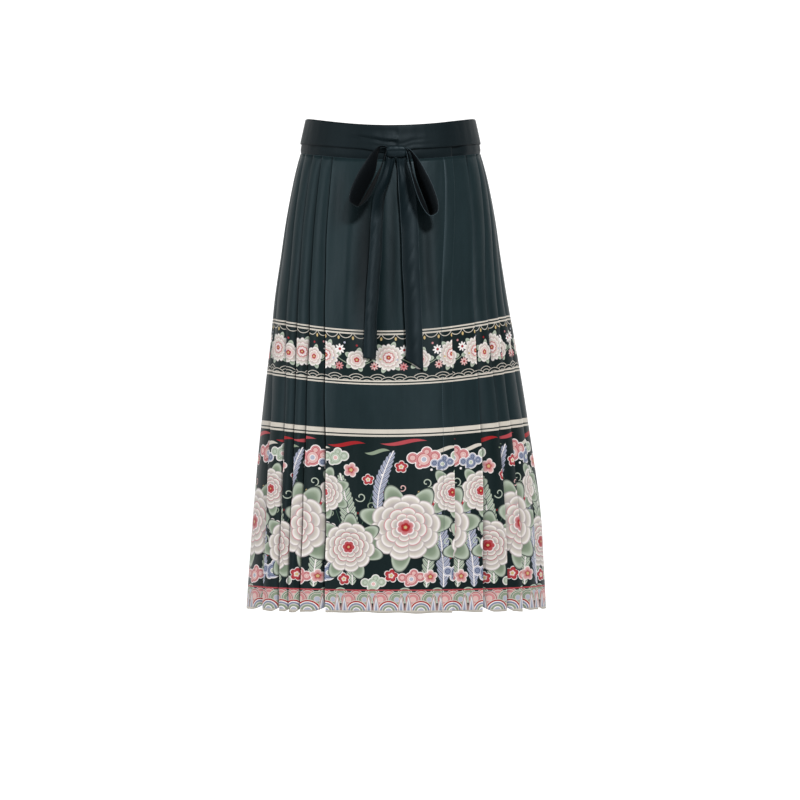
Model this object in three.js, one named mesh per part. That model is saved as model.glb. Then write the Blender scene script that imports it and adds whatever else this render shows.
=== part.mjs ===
// A worn horse-face skirt (mamianqun): two widths of satin on one waistband, each with a flat panel at both
// ends and knife pleats between. The panels lap at the front and at the back, the pleats fold away from them
// and meet at the sides, and a tie goes round the waistband into a bow at the front.
// Millimetres, +Z up. The origin is the middle of the waist opening, half way up the waistband at the sides.
// The front faces -Y, and +X is to the right of somebody looking at the front.
import * as THREE from "three";

// Driving dimensions.
const BAND_HEIGHT = 60;
const CLOTH_LENGTH = 746.5; // from the waistband's lower edge to the hem, measured straight down
const CLOTH_WALL = 1;
const BAND_WALL = 3; // the folded band with its stiffening
const RIBBON_WALL = 1.2;
const GAP = 0.3; // between pieces at a seam
const RIBBON_GAP = 0.5; // between the layers of the tie
const FRONT_DIP = 15; // how much lower the waist lies at the front than at the sides
const BACK_DIP = 4;

// Girth of the worn skirt. below is measured down from the waistband's top edge.
const GIRTH = [
  { below: 0, halfWidth: 138, halfDepth: 104, centreX: 0 },
  { below: 44, halfWidth: 147.5, halfDepth: 108.5, centreX: 0 },
  { below: 60, halfWidth: 150, halfDepth: 110, centreX: 0 },
  { below: 100, halfWidth: 160, halfDepth: 115.5, centreX: 0.5 },
  { below: 166, halfWidth: 172.5, halfDepth: 124, centreX: 0.5 },
  { below: 233, halfWidth: 182, halfDepth: 131.5, centreX: 0.5 },
  { below: 299, halfWidth: 192, halfDepth: 139, centreX: 1 },
  { below: 365, halfWidth: 201.5, halfDepth: 147, centreX: 4 },
  { below: 465, halfWidth: 215.5, halfDepth: 158.5, centreX: 6.5 },
  { below: 564, halfWidth: 228, halfDepth: 170, centreX: 9 },
  { below: 663, halfWidth: 238, halfDepth: 181, centreX: 10.5 },
  { below: 730, halfWidth: 242.5, halfDepth: 187, centreX: 10 },
  { below: 810, halfWidth: 247.5, halfDepth: 193, centreX: 9.5 },
];

// Where each outer fold lies, in degrees round from the front, at four places down the cloth.
const FOLD_LEVELS = { top: 0, thigh: 0.36, knee: 0.6, hem: 1 }; // as shares of the cloth's length
const LEFT_FRONT_FOLDS = [
  { top: 38.6, thigh: 33.2, knee: 30.6, hem: 27.3 },
  { top: 48.2, thigh: 42.8, knee: 40.5, hem: 39.2 },
  { top: 57.7, thigh: 51.7, knee: 47.6, hem: 44.6 },
  { top: 69.5, thigh: 60.5, knee: 54.5, hem: 50.4 },
  { top: 80, thigh: 76, knee: 67, hem: 61.5 },
  { top: 89, thigh: 88, knee: 86, hem: 84 },
];
const LEFT_BACK_FOLDS = [
  { top: 93, thigh: 93.5, knee: 95.5, hem: 98 },
  { top: 101.2, thigh: 103, knee: 107, hem: 111.5 },
  { top: 109.2, thigh: 112, knee: 116.5, hem: 123 },
  { top: 117, thigh: 120.5, knee: 126.5, hem: 134 },
  { top: 124.6, thigh: 129, knee: 136.5, hem: 145.8 },
];
const RIGHT_FRONT_FOLDS = [
  { top: 55.4, thigh: 43.1, knee: 38.7, hem: 34.2 },
  { top: 69.5, thigh: 52.8, knee: 49.4, hem: 46.7 },
  { top: 79, thigh: 62.6, knee: 58.7, hem: 55.9 },
  { top: 87.5, thigh: 72.5, knee: 71.5, hem: 70 },
  { top: 96.5, thigh: 85, knee: 84.5, hem: 84 },
];
const RIGHT_BACK_FOLDS = [
  { top: 100.5, thigh: 97, knee: 98.5, hem: 101.5 },
  { top: 110.5, thigh: 109, knee: 111, hem: 115 },
  { top: 120.5, thigh: 121.5, knee: 124, hem: 128.5 },
  { top: 131, thigh: 134, knee: 137, hem: 140.5 },
  { top: 141.4, thigh: 146.8, knee: 149.4, hem: 152.7 },
];
// Free edges of the flat panels, in degrees from the middle of the front or of the back.
const OUTER_EDGE = { top: 42.8, thigh: 29.7, knee: 25.5, hem: 21.5 };
const INNER_EDGE = { top: 26, thigh: 20.5, knee: 17, hem: 14.5 };

// How a pleat is folded at places down the cloth: how far its underlay reaches back under the strip that shows,
// and how deep the inner fold lies.
const PLEAT = [
  { share: 0, underlay: 20, depth: 4.6 },
  { share: 0.36, underlay: 16, depth: 5.5 },
  { share: 0.6, underlay: 13, depth: 6.5 },
  { share: 1, underlay: 9, depth: 8.5 },
];
const UNDERLAY_LIMIT = 0.82; // of the width of the strip over it, where strips are narrow
const FOLD_TURN = 1.4; // between the middles of the two layers at a fold
const INNER_PANEL_DEPTH = 2.2; // how far the inner panel lies behind the outer one

// Soft drape of the cloth. angle and spread are in degrees, from and to are shares of the cloth's length, and
// out is how far the cloth stands out there.
const DRAPE = [
  { angle: -15, spread: 7, from: 0.02, to: 0.52, out: -5 },
  { angle: -27, spread: 7, from: 0.05, to: 0.75, out: 2.5 },
  { angle: 24, spread: 8, from: 0.05, to: 0.7, out: 2.5 },
  { angle: 174, spread: 11, from: 0.1, to: 0.9, out: -4 },
  { angle: 205, spread: 10, from: 0.1, to: 0.95, out: 3 },
];
const ROWS = [0, 0.05, 0.11, 0.18, 0.27, 0.36, 0.48, 0.6, 0.73, 0.87, 1]; // shares of the cloth's length
const PANEL_STEPS = 14; // across a flat panel

// The waistband starts at the outer panel's free edge, goes once round and ends under its own start.
const BAND_TURN = 360 + OUTER_EDGE.top + INNER_EDGE.top;
const BAND_STEPS = 96;
const BAND_SINK = { from: 345, to: 358, depth: BAND_WALL + 0.5 }; // where it goes in under its own start
const BAND_OUT = -0.7; // of the band's middle from the cloth's surface

// The tie round the waistband. Its ends meet behind the knot, and its upper edge comes down to the knot.
const TIE = { upper: 0.5, lower: 41, knotUpper: 30, knotLower: 47, steps: 84 };
const TIE_NARROWS = { left: 24, right: 12 }; // degrees on each side of the knot
const TIE_OUT = BAND_OUT + BAND_WALL / 2 + RIBBON_GAP + RIBBON_WALL / 2;

// The bow, seen from the front. down is below the waistband's top edge at the sides.
const KNOT = { x: 9.5, down: 59, width: 34, height: 20, depth: 13 };
const KNOT_ROUNDNESS = 4; // exponent of its rounded outline
const KNOT_OUT = TIE_OUT + RIBBON_WALL / 2 + RIBBON_GAP + KNOT.depth / 2;
// Each loop's near edge is a drop shape about a tilted axis: outer and inner are its widths on the two sides, and
// early is small where the outer side widens close to the knot. farX is how far to the right its far edge lies.
const LOOPS = [
  { name: "bow_loop_left", side: -1, length: 107, tilt: 28.7, outer: 21, early: 0.15, inner: 19, farX: 12 },
  { name: "bow_loop_right", side: 1, length: 118, tilt: 21.4, outer: 21, early: 0.6, inner: 14, farX: -7 },
];
const LOOP_STEPS = 30;
const LOOP_RIBBON = { atKnot: 9, full: 28, spreads: 0.26, out: 46 };
const LOOP_ENDS = { down: 55, apart: 5 }; // where a loop's two ends meet the knot's side
// Each tail hangs from under the knot. turn is how far it is turned from facing the front, curl is how much more
// its edges are turned, both in degrees, and slant is how much longer it is on its right edge.
const TAILS = [
  { name: "bow_tail_left", ribbon: 32, turn: 32, curl: 48, out: 5, slant: 5 },
  { name: "bow_tail_right", ribbon: 34, turn: -12, curl: 34, out: 4, slant: 20 },
];
const TAIL_MIDDLES = {
  bow_tail_left: [
    { down: 70, x: 1 },
    { down: 100, x: -6 },
    { down: 140, x: -17 },
    { down: 220, x: -23 },
    { down: 290, x: -28 },
    { down: 357, x: -31.5 },
    { down: 396, x: -33 },
  ],
  bow_tail_right: [
    { down: 70, x: 18 },
    { down: 110, x: 25 },
    { down: 174, x: 31 },
    { down: 241, x: 33.5 },
    { down: 300, x: 36.5 },
    { down: 357, x: 39 },
    { down: 397, x: 40 },
  ],
};
const TAIL_AT_KNOT = { width: 13, out: 7 }; // where it leaves the knot
const TAIL_SPREADS = 70; // the length over which it comes to its full width
const TAIL_SETTLES = 18; // the length over which it comes down to the cloth
const TAIL_ROWS = 14;
const TAIL_COLUMNS = 6;

const RADIANS = Math.PI / 180;
const BAND_TOP = BAND_HEIGHT / 2;

const SATIN = { color: 0x2a363a, roughness: 0.45, metalness: 0 };
const RIBBON = { color: 0x262e33, roughness: 0.5, metalness: 0 };

function mix(a, b, share) {
  return a + (b - a) * share;
}

function smoothStep(x, from, to) {
  const u = Math.min(Math.max((x - from) / (to - from), 0), 1);
  return u * u * (3 - 2 * u);
}

// Value of column key at x in a table whose rows ascend in column by, on a smooth curve through the rows.
function lookUp(table, by, key, x) {
  const last = table.length - 1;
  if (x <= table[0][by]) return table[0][key];
  if (x >= table[last][by]) return table[last][key];
  const slope = (j) => {
    const a = table[Math.max(j - 1, 0)];
    const b = table[Math.min(j + 1, last)];
    return (b[key] - a[key]) / (b[by] - a[by]);
  };
  const i = table.findIndex((row) => row[by] > x) - 1;
  const [p, q] = [table[i], table[i + 1]];
  const span = q[by] - p[by];
  const u = (x - p[by]) / span;
  const pull = (slope(i) * u * (1 - u) ** 2 - slope(i + 1) * u ** 2 * (1 - u)) * span;
  return mix(p[key], q[key], smoothStep(u, 0, 1)) + pull;
}

// The angle of a fold or free edge at a share of the cloth's length.
function angleOf(fold, share) {
  const rows = Object.entries(FOLD_LEVELS).map(([level, at]) => ({ at, angle: fold[level] }));
  return lookUp(rows, "at", "angle", share);
}

// How much lower than at the sides the skirt lies at an angle. The hem is level.
function dipAt(angle, below) {
  const c = Math.cos(angle * RADIANS);
  const top = c > 0 ? FRONT_DIP : BACK_DIP;
  return top * c * c * Math.max(1 - below / (BAND_HEIGHT + CLOTH_LENGTH), 0);
}

function drapeAt(angle, below) {
  const share = (below - BAND_HEIGHT) / CLOTH_LENGTH;
  return DRAPE.reduce((sum, fold) => {
    const along = (share - fold.from) / (fold.to - fold.from);
    if (along <= 0 || along >= 1) return sum;
    const turn = ((((angle - fold.angle) % 360) + 540) % 360) - 180;
    return sum + fold.out * Math.exp(-((turn / fold.spread) ** 2)) * Math.sin(Math.PI * along);
  }, 0);
}

function girthAt(below) {
  const [a, b, x] = ["halfWidth", "halfDepth", "centreX"].map((key) => lookUp(GIRTH, "below", key, below));
  return { a, b, x };
}

// The point at an angle round the skirt, out from its surface, at a place below the waistband's top edge.
function place(angle, out, below) {
  const { a, b, x } = girthAt(below);
  const s = Math.sin(angle * RADIANS);
  const c = Math.cos(angle * RADIANS);
  const normal = new THREE.Vector2(b * s, -a * c).normalize();
  const offset = out + drapeAt(angle, below);
  return new THREE.Vector3(
    x + a * s + normal.x * offset,
    -b * c + normal.y * offset,
    BAND_TOP - below - dipAt(angle, below),
  );
}

// Degrees for a length round the skirt at an angle.
function degreesFor(length, angle, below) {
  const { a, b } = girthAt(below);
  return length / (Math.hypot(a * Math.cos(angle * RADIANS), b * Math.sin(angle * RADIANS)) * RADIANS);
}

// The y of the front surface at x and z.
function frontSurface(x, z) {
  let below = BAND_TOP - z;
  let angle = 0;
  for (let i = 0; i < 4; i += 1) {
    const girth = girthAt(below);
    angle = Math.asin((x - girth.x) / girth.a) / RADIANS;
    below = BAND_TOP - z - dipAt(angle, below);
  }
  return place(angle, 0, below).y;
}

// A line of flat points moved sideways by a distance, with mitred corners.
function movedSideways(line, distance) {
  const last = line.length - 1;
  return line.map((p, i) => {
    const into = i > 0 ? p.clone().sub(line[i - 1]).normalize() : line[1].clone().sub(p).normalize();
    const away = i < last ? line[i + 1].clone().sub(p).normalize() : into;
    const side = new THREE.Vector2(into.y + away.y, -into.x - away.x).normalize();
    const reach = distance / Math.max(side.x * away.y - side.y * away.x, 0.5);
    return side.multiplyScalar(reach).add(p);
  });
}

// A closed wall between two grids of points: rows of columns, its outer and its inner face.
function closedWall(outer, inner) {
  const rows = outer.length;
  const columns = outer[0].length;
  const at = (side, r, c) => (side * rows + r) * columns + c;
  const index = [];
  const quad = (a, b, c, d) => index.push(a, b, c, a, c, d);
  for (let r = 1; r < rows; r += 1) {
    for (let c = 1; c < columns; c += 1) {
      quad(at(0, r - 1, c - 1), at(0, r, c - 1), at(0, r, c), at(0, r - 1, c));
      quad(at(1, r - 1, c - 1), at(1, r - 1, c), at(1, r, c), at(1, r, c - 1));
    }
    quad(at(0, r - 1, 0), at(1, r - 1, 0), at(1, r, 0), at(0, r, 0));
    quad(at(0, r - 1, columns - 1), at(0, r, columns - 1), at(1, r, columns - 1), at(1, r - 1, columns - 1));
  }
  for (let c = 1; c < columns; c += 1) {
    quad(at(0, 0, c - 1), at(0, 0, c), at(1, 0, c), at(1, 0, c - 1));
    quad(at(0, rows - 1, c - 1), at(1, rows - 1, c - 1), at(1, rows - 1, c), at(0, rows - 1, c));
  }
  const points = [...outer, ...inner].flat();
  if (signedVolume(points, index) < 0) index.reverse();
  const geometry = new THREE.BufferGeometry().setFromPoints(points);
  geometry.setIndex(index);
  geometry.computeVertexNormals();
  return geometry;
}

function signedVolume(points, index) {
  let sum = 0;
  for (let i = 0; i < index.length; i += 3) {
    const [a, b, c] = [points[index[i]], points[index[i + 1]], points[index[i + 2]]];
    sum += a.dot(b.clone().cross(c));
  }
  return sum / 6;
}

// A wall whose rows are lines of 3-D points: each row is offset to both sides in its own horizontal plane.
function wallAlong(lines, thickness) {
  const faces = [thickness / 2, -thickness / 2].map((distance) =>
    lines.map((line) => {
      const moved = movedSideways(line.map((p) => new THREE.Vector2(p.x, p.y)), distance);
      return moved.map((p, i) => new THREE.Vector3(p.x, p.y, line[i].z));
    }),
  );
  return closedWall(...faces);
}

// The pleated widths. A width's own angle runs from the front round its side to the back. A line across a width
// is a list of points: own angle and distance out.

function knifeFold(angle, neighbour, direction, below) {
  const share = (below - BAND_HEIGHT) / CLOTH_LENGTH;
  const depth = lookUp(PLEAT, "share", "depth", share);
  const strip = Math.abs(angle - neighbour) / degreesFor(1, angle, below);
  const underlay = Math.min(lookUp(PLEAT, "share", "underlay", share), strip * UNDERLAY_LIMIT);
  const inner = angle - direction * degreesFor(underlay, angle, below);
  return {
    angle,
    underlay,
    depth: depth + FOLD_TURN,
    corners: [[angle, 0], [angle, -FOLD_TURN], [inner, -depth], [inner, -depth - FOLD_TURN]],
  };
}

// Where the strip that ends at the next fold comes out from under this one.
function emergence(fold, next, below) {
  const strip = Math.abs(next.angle - fold.angle) / degreesFor(1, fold.angle, below);
  return [fold.angle, (-fold.depth * strip) / (fold.underlay + strip)];
}

// All folds of one side, from the front panel's fold round to the back panel's fold.
function foldedSide(frontFolds, backFolds, below) {
  const share = (below - BAND_HEIGHT) / CLOTH_LENGTH;
  const half = (table, direction) => {
    const angles = table.map((fold) => angleOf(fold, share));
    const folds = angles.map((angle, i) => knifeFold(angle, angles[i ? i - 1 : 1], direction, below));
    return folds.flatMap((fold, i) => (i ? [emergence(folds[i - 1], fold, below), ...fold.corners] : fold.corners));
  };
  return [...half(frontFolds, 1), ...half([...backFolds].reverse(), -1).reverse()];
}

// A flat panel between its fold and its free edge, without the fold's own corner.
function flatPanel(fold, freeEdge, outAt) {
  return Array.from({ length: PANEL_STEPS }, (_, i) => {
    const angle = mix(fold, freeEdge, (i + 1) / PANEL_STEPS);
    return [angle, outAt(angle)];
  });
}

// One width: its front panel is the outer one or the inner one, and its back panel is then the other kind.
function widthLine(frontFolds, backFolds, outerFront, below) {
  const share = (below - BAND_HEIGHT) / CLOTH_LENGTH;
  const outerEdge = angleOf(OUTER_EDGE, share);
  const innerEdge = angleOf(INNER_EDGE, share);
  const frontFold = angleOf(frontFolds[0], share);
  const backFold = angleOf(backFolds[backFolds.length - 1], share);
  const outer = () => 0;
  const behind = (fold, cover) => (angle) => -INNER_PANEL_DEPTH * smoothStep(angle, fold, cover);
  const front = outerFront
    ? flatPanel(frontFold, -outerEdge, outer)
    : flatPanel(frontFold, -innerEdge, behind(frontFold, outerEdge));
  const back = outerFront
    ? flatPanel(backFold, 180 + innerEdge, behind(backFold, 180 - outerEdge))
    : flatPanel(backFold, 180 + outerEdge, outer);
  return [...front.reverse(), ...foldedSide(frontFolds, backFolds, below), ...back];
}

function skirtWidth(frontFolds, backFolds, outerFront) {
  const toAngle = outerFront ? -1 : 1; // the outer front panel's width goes round the left side
  const lines = ROWS.map((share) => {
    const below = BAND_HEIGHT + GAP + share * (CLOTH_LENGTH - GAP);
    const line = widthLine(frontFolds, backFolds, outerFront, below);
    return line.map(([angle, out]) => place(toAngle * angle, out, below));
  });
  return wallAlong(lines, CLOTH_WALL);
}

function waistband() {
  const outAt = (turned) => BAND_OUT - BAND_SINK.depth * smoothStep(turned, BAND_SINK.from, BAND_SINK.to);
  const lines = [0, BAND_HEIGHT / 2, BAND_HEIGHT].map((below) =>
    Array.from({ length: BAND_STEPS + 1 }, (_, i) => {
      const turned = (BAND_TURN * i) / BAND_STEPS;
      return place(OUTER_EDGE.top - turned, outAt(turned), below);
    }),
  );
  return wallAlong(lines, BAND_WALL);
}

function tieWrap() {
  const knotAngle = Math.asin(KNOT.x / girthAt(BAND_HEIGHT).a) / RADIANS;
  const endGap = degreesFor(GAP, knotAngle, BAND_HEIGHT);
  const lines = [0, 1 / 3, 2 / 3, 1].map((across) =>
    Array.from({ length: TIE.steps + 1 }, (_, i) => {
      const turned = mix(endGap, 360 - endGap, i / TIE.steps);
      const full = smoothStep(turned, 3, TIE_NARROWS.right) * smoothStep(360 - turned, 3, TIE_NARROWS.left);
      const upper = mix(TIE.knotUpper, TIE.upper, full);
      const lower = mix(TIE.knotLower, TIE.lower, full);
      return place(knotAngle + turned, TIE_OUT, mix(upper, lower, across));
    }),
  );
  return wallAlong(lines, RIBBON_WALL);
}

// A sphere pushed out to a rounded box.
function knot() {
  const geometry = new THREE.SphereGeometry(1, 20, 12);
  geometry.deleteAttribute("uv");
  const corners = geometry.getAttribute("position");
  const z = BAND_TOP - KNOT.down;
  const centre = new THREE.Vector3(KNOT.x, frontSurface(KNOT.x, z) - KNOT_OUT, z);
  const half = new THREE.Vector3(KNOT.width / 2, KNOT.depth / 2, KNOT.height / 2);
  for (let i = 0; i < corners.count; i += 1) {
    const p = new THREE.Vector3().fromBufferAttribute(corners, i);
    const size = [p.x, p.y, p.z].reduce((sum, side) => sum + Math.abs(side) ** KNOT_ROUNDNESS, 0);
    p.divideScalar(size ** (1 / KNOT_ROUNDNESS)).multiply(half).add(centre);
    corners.setXYZ(i, p.x, p.y, p.z);
  }
  geometry.computeVertexNormals();
  return geometry;
}

// One loop: out of the knot's side, down, round and back to the knot's side below its start.
function bowLoop(loop) {
  const z = BAND_TOP - LOOP_ENDS.down;
  const start = new THREE.Vector2(KNOT.x + loop.side * (KNOT.width / 2 + GAP + RIBBON_WALL / 2), z);
  const tilt = loop.tilt * RADIANS;
  const along = new THREE.Vector2(loop.side * Math.sin(tilt), -Math.cos(tilt));
  const across = new THREE.Vector2(loop.side * Math.cos(tilt), Math.sin(tilt));
  const surface = frontSurface(start.x, z);
  const steps = Array.from({ length: LOOP_STEPS + 1 }, (_, i) => i / LOOP_STEPS);
  const middle = steps.map((share) => {
    const turn = 2 * Math.PI * share;
    const reach = (loop.length * (1 - Math.cos(turn))) / 2;
    const wide =
      share < 0.5
        ? loop.outer * Math.sqrt(Math.abs(Math.sin(turn))) * Math.sin(turn / 2) ** loop.early
        : loop.inner * Math.sin(turn) * Math.abs(Math.sin(turn / 2)) ** 1.4;
    const apart = (LOOP_ENDS.apart / 2) * Math.cos(turn / 2);
    return start
      .clone()
      .addScaledVector(along, reach)
      .addScaledVector(across, wide)
      .add(new THREE.Vector2(0, apart));
  });
  const edges = [0, 0.5, 1].map((far) =>
    [RIBBON_WALL / 2, -RIBBON_WALL / 2].map((distance) =>
      movedSideways(middle, distance).map((p, i) => {
        const share = steps[i];
        const full = smoothStep(Math.min(share, 1 - share), 0, LOOP_RIBBON.spreads);
        const ribbon = mix(LOOP_RIBBON.atKnot, LOOP_RIBBON.full, full);
        const near = mix(KNOT_OUT + LOOP_RIBBON.atKnot / 2, LOOP_RIBBON.out, full);
        return new THREE.Vector3(p.x + loop.farX * far * full ** 2, surface - near + ribbon * far, p.y);
      }),
    ),
  );
  return closedWall(
    edges.map(([outer]) => outer),
    edges.map(([, inner]) => inner),
  );
}

// One tail: a ribbon whose cross-section is an arc, turned to one side.
function bowTail(tail) {
  const middles = TAIL_MIDDLES[tail.name];
  const top = KNOT.down + KNOT.height / 2 + GAP;
  const bottom = middles[middles.length - 1].down;
  const lines = Array.from({ length: TAIL_ROWS }, (_, row) => {
    const along = row / (TAIL_ROWS - 1);
    const down = mix(top, bottom, along);
    const full = smoothStep(down - top, 0, TAIL_SPREADS);
    const half = mix(TAIL_AT_KNOT.width, tail.ribbon, full) / 2;
    const turn = tail.turn * full * RADIANS;
    const curl = tail.curl * RADIANS;
    const x = lookUp(middles, "down", "x", down);
    const out = mix(TAIL_AT_KNOT.out, tail.out, smoothStep(down - top, 0, TAIL_SETTLES));
    return Array.from({ length: TAIL_COLUMNS }, (_, column) => {
      const v = (2 * column) / (TAIL_COLUMNS - 1) - 1;
      const sideways = (half / curl) * (Math.sin(turn + curl * v) - Math.sin(turn));
      const outwards = (half / curl) * (Math.cos(turn) - Math.cos(turn + curl * v));
      const z = BAND_TOP - down - tail.slant * ((v + 1) / 2) * along ** 4;
      return new THREE.Vector3(x + sideways, frontSurface(x + sideways, z) - out - outwards, z);
    });
  });
  return wallAlong(lines, RIBBON_WALL);
}

function piece(name, geometry, look) {
  const mesh = new THREE.Mesh(geometry, new THREE.MeshStandardMaterial(look));
  mesh.name = name;
  return mesh;
}

const skirt = new THREE.Group();
skirt.add(piece("skirt_left", skirtWidth(LEFT_FRONT_FOLDS, LEFT_BACK_FOLDS, true), SATIN));
skirt.add(piece("skirt_right", skirtWidth(RIGHT_FRONT_FOLDS, RIGHT_BACK_FOLDS, false), SATIN));
skirt.add(piece("waistband", waistband(), SATIN));
skirt.add(piece("tie_wrap", tieWrap(), RIBBON));
skirt.add(piece("bow_knot", knot(), RIBBON));
LOOPS.forEach((loop) => skirt.add(piece(loop.name, bowLoop(loop), RIBBON)));
TAILS.forEach((tail) => skirt.add(piece(tail.name, bowTail(tail), RIBBON)));

export default skirt;
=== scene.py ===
# A worn horse-face skirt: satin shells over the frame's cloth solids, with the pleats' soft unevenness, a
# printed band at the thigh and a wide printed border, the waistband, the tie and its bow.
# Sizes are in millimetres until a mesh is made. The frame is the model's own: +Z up, the front faces -Y.
import math

import bpy
import numpy as np
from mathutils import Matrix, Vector


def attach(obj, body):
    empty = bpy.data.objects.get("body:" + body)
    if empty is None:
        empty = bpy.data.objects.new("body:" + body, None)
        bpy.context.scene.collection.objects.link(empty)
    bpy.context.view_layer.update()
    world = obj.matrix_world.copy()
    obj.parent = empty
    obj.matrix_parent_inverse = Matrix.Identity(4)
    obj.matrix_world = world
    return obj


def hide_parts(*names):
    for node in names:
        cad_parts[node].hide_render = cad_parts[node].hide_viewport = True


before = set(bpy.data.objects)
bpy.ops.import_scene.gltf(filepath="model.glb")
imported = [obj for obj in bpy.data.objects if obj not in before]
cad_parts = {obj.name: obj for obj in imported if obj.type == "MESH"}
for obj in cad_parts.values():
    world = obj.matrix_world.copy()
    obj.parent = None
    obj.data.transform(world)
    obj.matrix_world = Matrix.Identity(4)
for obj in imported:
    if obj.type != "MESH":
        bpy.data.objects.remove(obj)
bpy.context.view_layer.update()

MM = 0.001
BAND_HEIGHT = 60
CLOTH_LENGTH = 746.5
BAND_WALL = 3
FRONT_DIP = 15
BACK_DIP = 4
BAND_TOP = BAND_HEIGHT / 2
SKIRT_LENGTH = BAND_HEIGHT + CLOTH_LENGTH
CLOTH_THICKNESS = 0.45
RIBBON_THICKNESS = 0.7
BAND_THICKNESS = 2.2
TIE_THICKNESS = 0.9
SEAM_INSET = 2.2  # from the waistband's edges to its seams
STITCH_PITCH = 3.2

# Girth of the worn skirt: below the waistband's top edge, half width, half depth, and the middle's x.
GIRTH = np.array([
    (0, 138, 104, 0),
    (44, 147.5, 108.5, 0),
    (60, 150, 110, 0),
    (100, 160, 115.5, 0.5),
    (166, 172.5, 124, 0.5),
    (233, 182, 131.5, 0.5),
    (299, 192, 139, 1),
    (365, 201.5, 147, 4),
    (465, 215.5, 158.5, 6.5),
    (564, 228, 170, 9),
    (663, 238, 181, 10.5),
    (730, 242.5, 187, 10),
    (810, 247.5, 193, 9.5),
])

# Where each outer fold lies, in degrees round from the front, at the top, thigh, knee and hem.
FOLD_LEVELS = (0, 0.36, 0.6, 1)
LEFT_FRONT_FOLDS = [
    (38.6, 33.2, 30.6, 27.3),
    (48.2, 42.8, 40.5, 39.2),
    (57.7, 51.7, 47.6, 44.6),
    (69.5, 60.5, 54.5, 50.4),
    (80, 76, 67, 61.5),
    (89, 88, 86, 84),
]
LEFT_BACK_FOLDS = [
    (93, 93.5, 95.5, 98),
    (101.2, 103, 107, 111.5),
    (109.2, 112, 116.5, 123),
    (117, 120.5, 126.5, 134),
    (124.6, 129, 136.5, 145.8),
]
RIGHT_FRONT_FOLDS = [
    (55.4, 43.1, 38.7, 34.2),
    (69.5, 52.8, 49.4, 46.7),
    (79, 62.6, 58.7, 55.9),
    (87.5, 72.5, 71.5, 70),
    (96.5, 85, 84.5, 84),
]
RIGHT_BACK_FOLDS = [
    (100.5, 97, 98.5, 101.5),
    (110.5, 109, 111, 115),
    (120.5, 121.5, 124, 128.5),
    (131, 134, 137, 140.5),
    (141.4, 146.8, 149.4, 152.7),
]
OUTER_EDGE = (42.8, 29.7, 25.5, 21.5)
INNER_EDGE = (26, 20.5, 17, 14.5)

# A pleat down the cloth: share of the length, how far the underlay reaches back, and the inner fold's depth.
PLEAT = np.array([
    (0, 20, 2.4),
    (0.04, 20, 5.2),
    (0.12, 19, 6.5),
    (0.36, 16, 7.2),
    (0.6, 13, 8),
    (1, 9, 9.6),
])
UNDERLAY_LIMIT = 0.82
FOLD_TURN = 1.4
INNER_PANEL_DEPTH = 2.2

# Drape of both layers together: angle at the top and at the hem, spread in degrees, the shares of the length
# between which it lies, and how far the cloth stands out there.
DRAPE = [
    (-15, -15, 7, 0.02, 0.52, -5),
    (-27, -27, 7, 0.05, 0.75, 2.5),
    (24, 24, 8, 0.05, 0.7, 2.5),
    (174, 174, 11, 0.1, 0.9, -4),
    (205, 205, 10, 0.1, 0.95, 3),
]

# Finer creases in the same columns: at the front behind and beside the bow's tails, over the thigh and at the
# knee, and similar ones at the back.
CREASES = [
    (-11, -10.5, 4.2, 0.02, 0.5, -5.4),
    (-21.5, -20.5, 3.6, 0.03, 0.52, 3.6),
    (-33, -22, 2.6, 0.0, 0.3, -1.2),
    (-3, -3, 2.4, 0.0, 0.4, 1.5),
    (4.6, 4, 2.2, 0.0, 0.44, 2.0),
    (9, 8, 2.6, 0.02, 0.4, -2.2),
    (18, 17.5, 3.4, 0.03, 0.44, -3.8),
    (31, 20, 3.0, 0.04, 0.62, -1.4),
    (-10, -14, 5.0, 0.45, 1.2, 2.4),
    (2, 1, 6.0, 0.5, 1.25, -2.2),
    (16, 12, 4.5, 0.55, 1.2, 1.8),
    (163, 168, 4, 0.02, 0.5, 1.8),
    (184, 181, 4.5, 0.05, 0.7, 2.4),
    (196, 190, 3.6, 0.0, 0.4, -2.0),
    (186, 184, 6, 0.5, 1.2, -2.6),
    (171, 174, 5, 0.55, 1.2, 2.0),
]

# Painted shade: places where the cloth's own colour is darkened to stand for shade, as in the photo: beside
# the tails, behind the loops and between the tails, and two weaker ones at the back. Same columns, but the
# last is how much darker it is.
PAINTED_SHADE_PLACES = [
    (-14, -13.5, 5, 0.0, 0.47, 0.92),
    (-31, -30, 4.5, 0.02, 0.17, 0.45),
    (1, 1, 2.8, 0.0, 0.42, 0.5),
    (9.5, 9, 2.4, 0.0, 0.42, 0.4),
    (20, 19, 4.2, 0.05, 0.43, 0.5),
    (25, 25, 5, 0.08, 0.2, 0.3),
    (160, 160, 5, 0.02, 0.5, 0.3),
    (197, 193, 4, 0.0, 0.45, 0.3),
]

CLOTH_ROWS = 116
SEWN_IN = 2  # how far the cloth's top edge goes up into the waistband's wall

# Columns across a flat panel, as distances in from its free edge. The turned edge is stitched down at one.
STITCHED_AT = 18
TURNED_EDGE = (0, 0.8, 2, 5, 9, 13, 16, 17.3, STITCHED_AT, 18.7, 20, 23.5)
PANEL_COLUMNS = 58

# The waistband, a stiff band that overlaps at the left front.
BAND = {"turn": 360 + 42.8 + 26, "out": -0.7, "sink from": 345, "sink to": 358, "sink": BAND_WALL + 0.5}

# The tie round it: its edges below the waistband's top, and how low it comes at the knot.
TIE = {"upper": 0.5, "lower": 41, "knot lower": 47, "left": 24, "right": 12}
RIBBON_WALL = 1.2
RIBBON_GAP = 0.5
TIE_OUT = BAND["out"] + BAND_WALL / 2 + RIBBON_GAP + RIBBON_WALL / 2

KNOT = {"x": 9.5, "down": 59, "width": 34, "height": 20, "depth": 13}
KNOT_OUT = TIE_OUT + RIBBON_WALL / 2 + RIBBON_GAP + KNOT["depth"] / 2

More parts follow.
